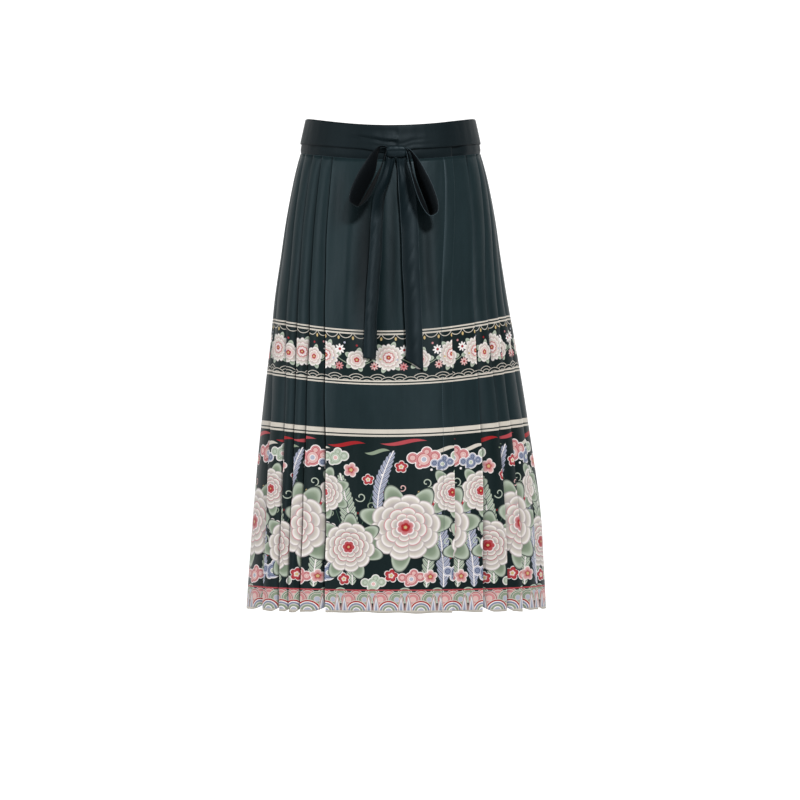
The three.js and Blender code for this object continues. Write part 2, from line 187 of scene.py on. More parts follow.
LOOPS = [
    {"name": "bow_loop_left", "side": -1, "length": 107, "tilt": 28.7,
     "outer": 21, "early": 0.15, "inner": 19, "far x": 12},
    {"name": "bow_loop_right", "side": 1, "length": 118, "tilt": 21.4,
     "outer": 21, "early": 0.6, "inner": 14, "far x": -7},
]
LOOP_RIBBON = {"at knot": 9, "full": 28, "spreads": 0.26, "out": 46}
LOOP_ENDS = {"down": 55, "apart": 5}

TAILS = [
    {"name": "bow_tail_left", "ribbon": 29, "turn": 34, "curl": 48, "out": 5, "slant": 5, "middles": [
        (70, 1), (100, -5.5), (140, -15.5), (220, -20.5), (290, -25.5), (357, -29), (396, -30.5)]},
    {"name": "bow_tail_right", "ribbon": 31, "turn": -14, "curl": 34, "out": 4, "slant": 20, "middles": [
        (70, 18), (110, 24.5), (174, 30), (241, 32.5), (300, 35.2), (357, 37.5), (397, 38.5)]},
]
TAIL_AT_KNOT = {"width": 13, "out": 7, "spreads": 70, "settles": 18}


def mix(a, b, share):
    return a + (b - a) * share


def smooth_step(x, start, end):
    u = np.clip((x - start) / (end - start), 0, 1)
    return u * u * (3 - 2 * u)


def look_up(xs, ys, x):
    """The value at x on a smooth curve through the points (xs, ys)."""
    xs = np.asarray(xs, float)
    ys = np.asarray(ys, float)
    x = np.clip(np.asarray(x, float), xs[0], xs[-1])
    before = np.maximum(np.arange(len(xs)) - 1, 0)
    after = np.minimum(np.arange(len(xs)) + 1, len(xs) - 1)
    slope = (ys[after] - ys[before]) / (xs[after] - xs[before])
    i = np.clip(np.searchsorted(xs, x, side="right") - 1, 0, len(xs) - 2)
    span = xs[i + 1] - xs[i]
    u = (x - xs[i]) / span
    pull = (slope[i] * u * (1 - u) ** 2 - slope[i + 1] * u**2 * (1 - u)) * span
    return mix(ys[i], ys[i + 1], smooth_step(u, 0, 1)) + pull


def wander(seed, x, waves=4):
    """A smooth uneven curve between about -1 and 1, the same on each run. x is in waves."""
    total = 0
    for k in range(waves):
        size = math.sin(seed * 12.9898 * (k + 1))
        total = total + size * np.sin(x * (0.7 + k * 0.83) * 2 * math.pi + seed * 4.1 * (k + 1))
    return total / waves * 1.8


def stack(*parts):
    """Joins grids that go together as x, y and z, or as u and v."""
    return np.stack(np.broadcast_arrays(*parts), axis=-1)


def girth(below):
    return [look_up(GIRTH[:, 0], GIRTH[:, k], below) for k in (1, 2, 3)]


def dip(angle, below):
    c = np.cos(np.radians(angle))
    top = np.where(c > 0, FRONT_DIP, BACK_DIP)
    return top * c * c * np.maximum(1 - below / SKIRT_LENGTH, 0)


def drape(angle, below, table):
    share = (below - BAND_HEIGHT) / CLOTH_LENGTH
    total = 0
    for top, hem, spread, start, end, out in table:
        along = np.clip((share - start) / (end - start), 0, 1)
        turn = (angle - mix(top, hem, share) + 180) % 360 - 180
        total = total + out * np.exp(-((turn / spread) ** 2)) * np.sin(math.pi * along)
    return total


def place(angle, out, below, table=DRAPE + CREASES):
    """Points at angles round the skirt, out from its surface, at places below the waistband's top edge."""
    a, b, x = girth(below)
    s = np.sin(np.radians(angle))
    c = np.cos(np.radians(angle))
    size = np.hypot(b * s, a * c)
    offset = out + drape(angle, below, table)
    return stack(
        x + a * s + b * s / size * offset,
        -b * c - a * c / size * offset,
        BAND_TOP - below - dip(angle, below),
    )


def degrees_for(length, angle, below):
    a, b, _ = girth(below)
    s = np.sin(np.radians(angle))
    c = np.cos(np.radians(angle))
    return length / (np.hypot(a * c, b * s) * math.pi / 180)


def front_surface(x, z):
    """The y of the front surface at x and z, without its fine creases."""
    below = BAND_TOP - z
    for _ in range(4):
        a, _, middle = girth(below)
        angle = np.degrees(np.arcsin(np.clip((x - middle) / a, -1, 1)))
        below = BAND_TOP - z - dip(angle, below)
    return place(angle, 0, below, DRAPE)[..., 1]


def grid_mesh(name, points, uv=None, closed=False):
    """A sheet mesh from a grid of points. uv gives a place on the flat cloth for each point."""
    rows, columns = points.shape[:2]
    at = np.arange(rows * columns).reshape(rows, columns)
    if closed:
        at = np.hstack([at, at[:, :1]])
    quads = np.stack([at[:-1, :-1], at[1:, :-1], at[1:, 1:], at[:-1, 1:]], axis=-1).reshape(-1, 4)
    mesh = bpy.data.meshes.new(name)
    mesh.from_pydata((points.reshape(-1, 3) * MM).tolist(), [], quads.tolist())
    if uv is not None:
        layer = mesh.uv_layers.new(name="flat")
        corners = np.empty(len(mesh.loops), int)
        mesh.loops.foreach_get("vertex_index", corners)
        layer.data.foreach_set("uv", (uv.reshape(-1, 2)[corners] * MM).ravel())
    return mesh


def add_object(name, data):
    thing = bpy.data.objects.new(name, data)
    bpy.context.collection.objects.link(thing)
    return thing


def new_piece(name, mesh, nodes, materials, sharp=40):
    """A visible piece in place of CAD nodes."""
    piece = add_object(name, mesh)
    for material in materials:
        mesh.materials.append(material)
    mesh.polygons.foreach_set("use_smooth", [True] * len(mesh.polygons))
    mesh.set_sharp_from_angle(angle=math.radians(sharp))
    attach(piece, "root")
    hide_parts(*nodes)
    return piece


def point_attribute(mesh, name, values):
    layer = mesh.attributes.new(name, "FLOAT", "POINT")
    layer.data.foreach_set("value", values.reshape(-1).astype(np.float32))


def thicken(piece, thickness, reverse_offset=0):
    solid = piece.modifiers.new("thickness", "SOLIDIFY")
    solid.thickness = thickness * MM
    solid.offset = 0
    solid.use_even_offset = True
    solid.material_offset = reverse_offset


# Materials

def link(source, target):
    target.id_data.links.new(source, target)


class Value:
    """A number in a node tree, with Python's own arithmetic."""

    def __init__(self, tree, socket):
        self.tree = tree
        self.socket = socket

    def math(self, operation, *others, clamp=False):
        node = self.tree.nodes.new("ShaderNodeMath")
        node.operation = operation
        node.use_clamp = clamp
        for slot, value in zip(node.inputs, (self, *others)):
            if isinstance(value, Value):
                link(value.socket, slot)
            else:
                slot.default_value = value
        return Value(self.tree, node.outputs[0])

    def __add__(self, other):
        return self.math("ADD", other)

    def __sub__(self, other):
        return self.math("SUBTRACT", other)

    def __mul__(self, other):
        return self.math("MULTIPLY", other)

    def __truediv__(self, other):
        return self.math("DIVIDE", other)

    def __pow__(self, other):
        return self.math("POWER", other)

    def times_plus(self, factor, term):
        return self.math("MULTIPLY_ADD", factor, term)

    def wrap(self, period):
        """This number brought to between minus and plus half a period."""
        return self.math("WRAP", period / 2, -period / 2)

    def length(self, other):
        return (self * self + other * other).math("SQRT")

    def mask(self, soft=0.5):
        """1 where this is above 0 and 0 where it is below, with an edge this soft."""
        return self.math("MULTIPLY_ADD", 1 / soft, 0.5, clamp=True)

    def below(self, limit, soft=0.5):
        return (self * -1 + limit).mask(soft)

    def line(self, half, soft=0.5):
        """1 where this is within half of 0."""
        return self.math("ABSOLUTE").times_plus(-1, half).mask(soft)


def linear(r, g, b):
    """A display colour from 0 to 255 as the renderer's linear one."""
    return tuple(((c / 255 + 0.055) / 1.055) ** 2.4 if c > 10 else c / 255 / 12.92 for c in (r, g, b)) + (1,)


INKS = {
    "cream": linear(203, 196, 185),
    "ivory": linear(234, 228, 226),
    "shade": linear(178, 168, 166),
    "red": linear(158, 30, 33),
    "pink": linear(196, 132, 134),
    "blush": linear(214, 174, 170),
    "rose": linear(172, 68, 74),
    "sage": linear(134, 147, 126),
    "mist": linear(178, 188, 172),
    "leaf": linear(68, 92, 74),
    "blue": linear(122, 131, 154),
    "lilac": linear(170, 173, 189),
    "slate": linear(62, 74, 106),
    "gold": linear(200, 174, 120),
    "ground": linear(10, 24, 24),
    "satin": linear(22, 36, 39),
    "ribbon": linear(16, 27, 31),
    "band": linear(14, 23, 26),
    # deep is the near-black of the painted shade inside the bow's loops.
    "deep": linear(9, 13, 16),
    # thread is the stitches' colour and also the painted highlight on the ribbons' edges.
    "thread": linear(62, 76, 82),
}


def set_inputs(node, values):
    for name, value in values.items():
        node.inputs[name].default_value = value


def flat_map(tree):
    """The place on the flat cloth, in metres."""
    node = tree.nodes.new("ShaderNodeUVMap")
    node.uv_map = "flat"
    return node.outputs[0]


def attribute_value(tree, name):
    node = tree.nodes.new("ShaderNodeAttribute")
    node.attribute_name = name
    return Value(tree, node.outputs["Fac"])


# A cloud's smaller lobes: where they lie and how large they are, as shares of its size.
CLOUD_LOBES = ((1.15, -0.3, 0.72), (-1.2, -0.2, 0.66), (0.3, -0.85, 0.62), (-0.45, 0.6, 0.5))


class Print:
    """A satin's material and its print, built one motif over another. Places are in millimetres."""

    def __init__(self, name, ink):
        self.material = new_material(name)
        self.tree = tree = self.material.node_tree
        split = tree.nodes.new("ShaderNodeSeparateXYZ")
        link(flat_map(tree), split.inputs[0])
        self.u = Value(tree, split.outputs[0]) * 1000
        self.v = Value(tree, split.outputs[1]) * 1000
        rgb = tree.nodes.new("ShaderNodeRGB")
        rgb.outputs[0].default_value = INKS[ink]
        self.colour = rgb.outputs[0]

    def ramp(self, value, stops, constant=False):
        """stops are pairs of position and ink name."""
        node = self.tree.nodes.new("ShaderNodeValToRGB")
        node.color_ramp.interpolation = "CONSTANT" if constant else "LINEAR"
        elements = node.color_ramp.elements
        while len(elements) < len(stops):
            elements.new(0.5)
        for element, (position, ink) in zip(elements, stops):
            element.position = position
            element.color = INKS[ink]
        link(value.socket, node.inputs[0])
        return node.outputs[0]

    def paint(self, mask, ink):
        """Lays an ink, or a colour socket, over what is there."""
        node = self.tree.nodes.new("ShaderNodeMix")
        node.data_type = "RGBA"
        link(mask.socket, node.inputs["Factor"])
        under, over = node.inputs[6], node.inputs[7]
        link(self.colour, under)
        if isinstance(ink, str):
            over.default_value = INKS[ink]
        else:
            link(ink, over)
        self.colour = node.outputs[2]

    def stripe(self, start, end, ink):
        """A level stripe between two places down the cloth."""
        self.paint((self.v - (start + end) / 2).line((end - start) / 2), ink)

    def polar(self, x, y):
        return x.length(y), y.math("ARCTAN2", x)

    def petals(self, polar, radius, count, phase, notch, power, stops, parted=None):
        """One layer of petals round a centre.

        notch is how far its outline goes in between petals. parted is the ink of the lines between them.
        """
        r, theta = polar
        swell = theta.times_plus(count / 2, phase).math("COSINE").math("ABSOLUTE")
        t = r / (swell ** power).times_plus(notch * radius, (1 - notch) * radius)
        inside = t.below(1, 1 / radius)
        self.paint(inside, self.ramp(t, stops))
        if parted:
            self.paint(swell.below(0.1, 0.2) * inside, parted)

    def peony(self, x, y, radius, phase, heart="pink"):
        """A large full blossom on a star of leaves."""
        polar = self.polar(x, y)
        leaf = [(0.5, "leaf"), (0.82, "sage"), (0.93, "mist"), (0.985, "ground")]
        outer = [(0.76, "shade"), (0.87, "cream"), (0.95, "ivory"), (0.985, "shade")]
        inner = [(0.7, "shade"), (0.82, "cream"), (0.94, "ivory"), (0.975, heart)]
        bud = [(0.4, "rose"), (0.8, heart), (0.92, "ivory")]
        eye = [(0.2, "gold"), (0.5, "red"), (0.9, "red")]
        for size, count, turn, notch, power, stops, parted in (
            (1.38, 7, 0, 0.5, 1.4, leaf, "mist"),
            (1, 10, 0.3, 0.13, 0.55, outer, "shade"),
            (0.8, 9, 1.1, 0.15, 0.55, outer, "shade"),
            (0.61, 8, 2.0, 0.17, 0.55, inner, "shade"),
            (0.43, 7, 0, 0.2, 0.55, inner, heart),
            (0.27, 6, 0.8, 0.22, 0.55, bud, None),
            (0.13, 5, 0, 0.25, 0.6, eye, None),
        ):
            self.petals(polar, radius * size, count, phase + turn, notch, power, stops, parted)

    def plum(self, x, y, radius, phase, stops):
        """A small blossom of five round petals."""
        self.petals(self.polar(x, y), radius, 5, phase, 0.34, 0.7, stops)

    def frond(self, x, up, length, lean, half, stops):
        """A plume of leaflets, from its foot upward. lean is how far its tip lies to the right."""
        share = up / length
        off = (share * share).times_plus(-lean, x)
        side = off.math("ABSOLUTE")
        leaflet = (up - side * 1.1).wrap(9) / 9
        width = (share * (share * -1 + 1) * 4) ** 0.42 * half
        edge = width - side + leaflet * leaflet * -9 - 0.6
        self.paint(edge.mask(0.8), self.ramp(leaflet + 0.5, stops))
        self.paint(side.below(0.9) * edge.mask(), "ivory")

    def cloud(self, x, y, size, stops):
        """A curled cloud of five lobes with lines that follow its edge."""
        shape = x.length(y) - size
        for at_x, at_y, radius in CLOUD_LOBES:
            lobe = (x - at_x * size).length(y - at_y * size) - radius * size
            shape = shape.math("MINIMUM", lobe)
        self.paint((shape * -1).mask(), self.ramp(shape * (-1 / size), stops, constant=True))

    def curl(self, x, y, size, turn, ink):
        """A tendril that winds in once."""
        r, theta = self.polar(x, y)
        spiral = (theta + turn).wrap(2 * math.pi).times_plus(-0.11 * size, -0.56 * size) + r
        self.paint(spiral.line(0.8), ink)

    def streak(self, x, y, length, ink):
        """A thin drift of cloud with pointed ends."""
        curve = (x * (5 / length)).math("SINE") * 3.2 + y
        width = ((x / (length / 2)).math("ABSOLUTE") ** 2) * -3.4 + 3.4
        self.paint((width - curve.math("ABSOLUTE")).mask(), ink)


def satin_shader(art, streaks=1.0, roughness=0.44, shine=0.2):
    """Finishes a print's material as satin, with painted highlight and painted shade from the mesh's
    attributes.
    """
    tree = art.tree
    shader = tree.nodes["Principled BSDF"]
    set_inputs(shader, {
        "Sheen Weight": 0.015,
        "Sheen Roughness": 0.4,
        "Specular IOR Level": shine,
        "Specular Tint": (0.74, 0.9, 1, 1),
    })
    flat = flat_map(tree)

    def noise(across, down, detail):
        mapping = tree.nodes.new("ShaderNodeMapping")
        set_inputs(mapping, {"Scale": (across, down, 1)})
        texture = tree.nodes.new("ShaderNodeTexNoise")
        set_inputs(texture, {"Scale": 1, "Detail": detail})
        link(flat, mapping.inputs[0])
        link(mapping.outputs[0], texture.inputs["Vector"])
        return Value(tree, texture.outputs["Fac"])

    def bump(height, strength, distance, under=None):
        node = tree.nodes.new("ShaderNodeBump")
        set_inputs(node, {"Strength": strength, "Distance": distance})
        link(height.socket, node.inputs["Height"])
        if under is not None:
            link(under, node.inputs["Normal"])
        return node.outputs[0]

    mottle = noise(26, 9, 3)
    thread = noise(1900, 160, 1)
    slub = noise(120, 1400, 1)
    crumple = noise(60, 22, 2)
    streak = noise(190, 6, 2)
    shade = tree.nodes.new("ShaderNodeHueSaturation")
    link(art.colour, shade.inputs["Color"])
    value = mottle.times_plus(0.5 * streaks, 1 - 0.4 * streaks)
    value = value + thread * (0.1 * streaks) + streak * (0.2 * streaks)
    # Painted light and shade on the cloth's colour: lighter along fold edges (painted highlight), darker
    # beside the folds' creases (painted shade) and darker at the listed places (painted shade).
    for attribute, strength in (("fold", 0.55 * streaks), ("crease_shade", -0.96), ("painted_shade", -1)):
        value = value * attribute_value(tree, attribute).times_plus(strength, 1)
    link(value.socket, shade.inputs["Value"])
    link(shade.outputs[0], shader.inputs["Base Color"])
    rough = mottle.times_plus(0.18, roughness - 0.16) + streak * 0.14
    link(rough.socket, shader.inputs["Roughness"])
    soft = bump(crumple, 0.14, 0.004)
    weave = bump(thread * 0.6 + slub * 0.5, 0.2, 0.0003, soft)
    link(weave, shader.inputs["Normal"])
    return art.material


def new_material(name):
    material = bpy.data.materials.new(name)
    material.use_nodes = True
    return material


# Places down the cloth, in millimetres below the waistband's top edge.
NARROW_BAND = {"top": 327, "bottom": 418.5}
WIDE_BAND = {"top": 495.5, "bottom": 771}
PANEL_WIDTH = 208
PLEATED_WIDTH = 3 * PANEL_WIDTH
DOUBLE_LINE = {"height": 7.4, "line": 2.5}


def stitched_edge(art):
    """The stitches that hold down the turned edge of each flat panel."""
    dash = art.v.wrap(STITCH_PITCH).line(1.1, 0.3)
    art.paint(attribute_value(art.tree, "seam") * dash.times_plus(0.6, 0.25), "thread")


def plain_satin():
    art = Print("satin", "satin")
    stitched_edge(art)
    return satin_shader(art)


def double_line(art, start):
    height, line = DOUBLE_LINE["height"], DOUBLE_LINE["line"]
    art.stripe(start, start + height, "ground")
    art.stripe(start, start + line, "cream")
    art.stripe(start + height - line, start + height, "cream")


def narrow_print():
    art = Print("satin_narrow_band", "satin")
    top, bottom = NARROW_BAND["top"], NARROW_BAND["bottom"]
    art.stripe(top, bottom, "ground")
    u, v = art.u, art.v
    period = PANEL_WIDTH / 3
    swag_period = period / 3

    # Garlands with drops hang from the upper edge.
    swag = u.wrap(swag_period).length(v - (top + 3)) - 11
    art.paint(swag.line(0.55), "cream")
    drop = (u + swag_period / 2).wrap(swag_period).length((v - (top + 14)) * 0.6)
    art.paint(drop.below(1.7), "gold")

    # Scales of waves stand on the lower edge.
    for shift, rise in ((period / 4, 11), (0, 6)):
        rings = (u + shift).wrap(period / 2).length((v - (bottom - rise + 7)) * 1.1)
        art.paint(rings.below(17), "ground")
        art.paint((rings.wrap(5.2)).line(0.55) * rings.below(17.4), "cream")

    # Chrysanthemums and peonies in turn, with daisies, buds and dots between them.
    y = v - (top + bottom) / 2
    pair = PANEL_WIDTH / 2
    leaves = [(0.3, "leaf"), (0.75, "sage"), (0.93, "mist"), (0.98, "ground")]
    rim = [(0.6, "shade"), (0.8, "cream"), (0.95, "ivory"), (0.98, "shade")]
    warm = [(0.5, "blush"), (0.75, "cream"), (0.94, "ivory"), (0.98, "pink")]
    stem = (u * (2 * math.pi / pair)).math("COSINE") * 10 + (y - 4)
    art.paint(stem.line(0.8), "sage")
    flower = art.polar(u.wrap(pair), y + 1)
    art.petals(flower, 29, 6, 0.5, 0.62, 2.2, leaves)
    art.petals(flower, 23, 16, 0, 0.2, 0.6, rim, "shade")
    art.petals(flower, 16, 13, 0.4, 0.2, 0.6, warm, "shade")
    art.petals(flower, 9.5, 9, 0.4, 0.24, 0.6, [(0.3, "pink"), (0.7, "ivory"), (0.96, "rose")])
    art.petals(flower, 3.8, 5, 0, 0.2, 0.8, [(0.3, "gold"), (0.5, "red")])
    second = (u + pair / 2).wrap(pair)
    flower = art.polar(second, y - 4)
    art.petals(flower, 22, 5, 0.2, 0.6, 2, leaves)
    art.petals(flower, 16.5, 6, 0.8, 0.22, 0.5, rim, "shade")
    art.petals(flower, 11, 5, 0.2, 0.24, 0.5, warm, "blush")
    heart = [(0.3, "gold"), (0.4, "red"), (0.8, "rose"), (0.95, "ivory")]
    art.petals(flower, 5.5, 5, 0.9, 0.24, 0.6, heart)
    for side, height, radius, ink in (
        (-27, -13, 8.5, "ivory"),
        (27, -11, 8, "ivory"),
        (29, 14, 7, "blush"),
        (-28, 15, 7, "pink"),
    ):
        daisy = art.polar(second - side, y - height)
        art.petals(daisy, radius, 8, 0.3, 0.5, 1.2, [(0.3, "ground"), (0.34, ink), (0.95, ink)])
        art.petals(daisy, radius / 4, 5, 0, 0.1, 1, [(0.4, "red"), (0.6, "red")])
    for side, height, ink in (
        (-19, -24, "lilac"),
        (19, -22, "pink"),
        (-38, 3, "lilac"),
        (39, 2, "gold"),
        (0, -20, "red"),
    ):
        dot = (second - side).length(y - height)
        art.paint(dot.below(1.7), ink)
    double_line(art, top)
    double_line(art, bottom - DOUBLE_LINE["height"])
    art.stripe(bottom, bottom + 60, "satin")
    art.stripe(top - 60, top, "satin")
    stitched_edge(art)
    return satin_shader(art, streaks=0.6)


def hem_border(art, bottom):
    """Rings of cloud and upright petals along the hem."""
    u, v = art.u, art.v
    edge = SKIRT_LENGTH
    period = PANEL_WIDTH / 4
    art.stripe(bottom, edge + 40, "ground")
    back = [(0, "lilac"), (0.3, "cream"), (0.36, "sage"), (0.7, "cream"), (0.78, "leaf"), (0.86, "mist")]
    blush = [(0, "blush"), (0.3, "cream"), (0.36, "pink"), (0.7, "cream"), (0.78, "rose"), (0.88, "shade")]
    rainbow = [(0, "lilac"), (0.28, "ivory"), (0.36, "sage"), (0.52, "cream"), (0.6, "blue"), (0.74, "ivory"),
               (0.82, "red"), (0.94, "cream")]
    for shift, height, radius, stops in (
        (0.5, 27, 13, back),
        (0, 24, 13, blush),
        (0.25, 20, 13, blush),
        (0.75, 20, 13, back),
    ):
        r = (u + shift * period).wrap(period).length(v - (edge - height)) / radius
        art.paint(r.below(1, 0.05), art.ramp(r, stops, constant=True))
    r = u.wrap(period).length(v - edge) / 19
    art.paint(r.below(1, 0.04), art.ramp(r, rainbow, constant=True))
    for side in (-6, 6):
        x = (u + (period / 2 + side)).wrap(period)
        petal = x.math("ABSOLUTE") / 5.6 + ((v - edge).math("ABSOLUTE") / 31) ** 1.7
        stops = [(0, "blue"), (0.35, "lilac"), (0.62, "ivory"), (0.8, "ground"), (0.86, "blush")]
        art.paint(petal.below(1, 0.1), art.ramp(petal, stops))
    art.stripe(edge - 1.7, edge + 40, "cream")
    art.stripe(bottom - 1.5, bottom + 0.6, "rose")


def cloud_stops(edge, ring, inner_from, inner, heart):
    return [(0, "ivory"), (0.1, edge), (0.3, ring), (inner_from, inner), (0.66, "ivory"), (0.74, heart)]


def wide_print():
    art = Print("satin_wide_band", "ground")
    top, bottom = WIDE_BAND["top"], WIDE_BAND["bottom"]
    middle = (top + bottom) / 2
    u, v = art.u, art.v

    def at(x, y):
        return (u - x).wrap(PANEL_WIDTH), v - y

    # Drifts and clouds along the top.
    for x, y, length, ink in (
        (-70, 522, 62, "red"),
        (22, 518, 74, "rose"),
        (88, 532, 46, "cream"),
        (-20, 534, 40, "sage"),
    ):
        art.streak(*at(x, y), length, ink)
    sage_cloud = cloud_stops("mist", "sage", 0.38, "mist", "blush")
    pink_cloud = cloud_stops("pink", "rose", 0.36, "blush", "lilac")
    blue_cloud = cloud_stops("lilac", "slate", 0.38, "blue", "mist")
    art.cloud(*at(54, 548), 15, pink_cloud)
    art.cloud(*at(84, 557), 11, blue_cloud)
    art.cloud(*at(-88, 546), 12, sage_cloud)

    # Plumes rise between the flowers on winding stems.
    turn = 2 * math.pi / PANEL_WIDTH
    for phase, height, level, ink, half in (
        (0.6, 40, 20, "leaf", 1.6),
        (3.4, 30, 60, "sage", 1.1),
        (2.2, 52, 0, "leaf", 1.3),
    ):
        vine = u.times_plus(turn * 2, phase).math("SINE") * height + (v - (middle + level))
        art.paint(vine.line(half), ink)
    sage_leaf = [(0.05, "ivory"), (0.14, "sage"), (0.6, "mist"), (0.93, "leaf")]
    lilac_leaf = [(0.05, "ivory"), (0.14, "blue"), (0.6, "lilac"), (0.93, "slate")]
    for x, foot, length, lean, half, stops in (
        (-58, 762, 190, -22, 15, sage_leaf),
        (-20, 640, 108, 26, 11, lilac_leaf),
        (88, 766, 168, -30, 14, lilac_leaf),
        (60, 766, 120, 20, 11, sage_leaf),
    ):
        across, down = at(x, foot)
        art.frond(across, down * -1, length, lean, half, stops)
    art.cloud(*at(-98, 742), 13, blue_cloud)
    art.cloud(*at(36, 752), 12, pink_cloud)
    art.cloud(*at(-24, 760), 11, sage_cloud)

    blush = [(0.18, "gold"), (0.3, "red"), (0.5, "pink"), (0.84, "blush"), (0.94, "ivory")]
    scarlet = [(0.2, "gold"), (0.3, "ivory"), (0.45, "rose"), (0.84, "red"), (0.93, "ivory")]
    for x, y, radius, phase, stops in (
        (-62, 566, 13, 0.2, blush),
        (-34, 582, 10, 1.0, scarlet),
        (74, 622, 14, 1.0, scarlet),
        (18, 560, 11, 0.6, scarlet),
        (-100, 668, 13, 1.6, blush),
        (4, 746, 12, 0.3, scarlet),
        (-72, 752, 11, 1.2, scarlet),
        (66, 748, 12, 0.8, blush),
    ):
        art.plum(*at(x, y), radius, phase, stops)

    for x, y, size, turn, ink in (
        (-46, 612, 10, 0.4, "mist"),
        (-30, 628, 8, 3.4, "sage"),
        (58, 588, 9, 1.8, "mist"),
        (-96, 640, 9, 5.0, "sage"),
        (92, 690, 9, 2.6, "mist"),
        (20, 596, 7, 0.9, "blush"),
    ):
        art.curl(*at(x, y), size, turn, ink)
    for x, y, radius, ink in (
        (-8, 604, 2.4, "red"),
        (46, 604, 2, "gold"),
        (-84, 596, 2.2, "rose"),
        (-50, 640, 2, "red"),
        (98, 716, 2.4, "red"),
        (66, 566, 2, "ivory"),
        (-12, 574, 2, "ivory"),
    ):
        across, down = at(x, y)
        art.paint((across.length(down) * -1 + radius).mask(), ink)

    art.peony(*at(100, 606), 34, 1.3, "rose")
    art.peony(*at(24, 664), 57, 0.4)
    art.peony(*at(-66, 698), 43, 2.2, "rose")

    art.stripe(top - 60, top, "satin")
    art.stripe(top, top + 12.8, "cream")
    art.stripe(top + 7.4, top + 9.6, "ground")
    hem_border(art, bottom)
    stitched_edge(art)
    return satin_shader(art, streaks=0.5)


def plain_cloth(name, ink, streaks=0.8, roughness=0.48):
    art = Print(name, ink)
    return satin_shader(art, streaks, roughness)


def ribbon_with_edge_highlight(half, strength):
    """Ribbon satin with a painted highlight: a paler line along both edges. half is from its middle to its
    edge.
    """
    art = Print(f"ribbon_{half}", "ribbon")
    # Painted highlight along the ribbon's edges, in the stitches' thread colour.
    art.paint((art.u.math("ABSOLUTE") - half).line(0.9, 0.6) * strength, "thread")
    return satin_shader(art)


def band_satin():
    """The waistband and the tie, with their seams."""
    art = Print("satin_band", "band")
    dash = art.u.wrap(STITCH_PITCH).line(1.1, 0.3)
    for seam in (SEAM_INSET, BAND_HEIGHT - SEAM_INSET):
        art.paint((art.v - seam).line(0.3, 0.3) * dash, "thread")
    return satin_shader(art, roughness=0.5, shine=0.13)


# The two pleated widths

def knife_fold(angle, neighbour, direction, rows, seed):
    """The corner lines of a fold, as angles and distances out at each row."""
    below, share = rows
    depth = look_up(PLEAT[:, 0], PLEAT[:, 2], share)
    strip = np.abs(angle - neighbour) / degrees_for(1, angle, below)
    underlay = np.minimum(look_up(PLEAT[:, 0], PLEAT[:, 1], share), strip * UNDERLAY_LIMIT)
    inner = angle - direction * degrees_for(underlay, angle, below)
    lift = (0.4 + 2.2 * share) * (0.55 + 0.45 * wander(seed + 7, share * 1.4))
    corners = [(angle, lift), (angle, lift - FOLD_TURN), (inner, -depth), (inner, -depth - FOLD_TURN)]
    return {"angle": angle, "underlay": underlay, "depth": depth + FOLD_TURN, "corners": corners}


def emergence(fold, following, below):
    """Where the strip that ends at the following fold comes out from under this one."""
    strip = np.abs(following["angle"] - fold["angle"]) / degrees_for(1, fold["angle"], below)
    return fold["angle"], -fold["depth"] * np.minimum(0.96, 0.35 + strip / (fold["underlay"] + strip))


# Stretches of the mesh between one corner line and the next: how many columns, and how far the cloth bulges.
TURN, UNDERLAY, HIDDEN, STRIP, SIDE = (2, 0), (3, 0), (4, 0), (13, 0.8), (10, -1.5)
STRIP_RISE = 2.4  # exponent: how much sooner than evenly a strip comes up to its fold's edge


def half_side(table, direction, rows, seed):
    """The corner lines and stretches of half a side, from a panel's fold to the last fold of that half."""
    below, share = rows
    angles = []
    for i, fold in enumerate(table):
        steady = look_up(FOLD_LEVELS, fold, share)
        uneven = degrees_for((0.4 + 1.6 * share) * wander(seed + i, share * 1.7), steady, below)
        angles.append(steady + uneven)
    folds = []
    for i, angle in enumerate(angles):
        neighbour = angles[i - 1 if i else 1]
        folds.append(knife_fold(angle, neighbour, direction, rows, seed + i))
    corners = list(folds[0]["corners"])
    stretches = [TURN, UNDERLAY, TURN]
    for before, fold in zip(folds, folds[1:]):
        corners += [emergence(before, fold, below), *fold["corners"]]
        stretches += [HIDDEN, STRIP, TURN, UNDERLAY, TURN]
    return corners, stretches


def panel_lines(fold_corner, free_edge, out_at):
    """A flat panel from its free edge to its fold."""
    fold, fold_out = fold_corner
    spread = np.linspace(0, 1, PANEL_COLUMNS - len(TURNED_EDGE) + 2)[1:-1]
    even = TURNED_EDGE[-1] + (PANEL_WIDTH - TURNED_EDGE[-1]) * spread
    lines = []
    for inset in (*TURNED_EDGE, *even):
        f = inset / PANEL_WIDTH
        angle = mix(free_edge, fold, f)
        doubled = 0.45 * (1 - smooth_step(np.float64(inset), 16.5, 17.7))
        groove = 0.35 * math.exp(-(((inset - STITCHED_AT) / 0.8) ** 2))
        lines.append((angle, out_at(angle) + (doubled - groove) + fold_out * np.exp(-(1 - f) * 8)))
    return lines


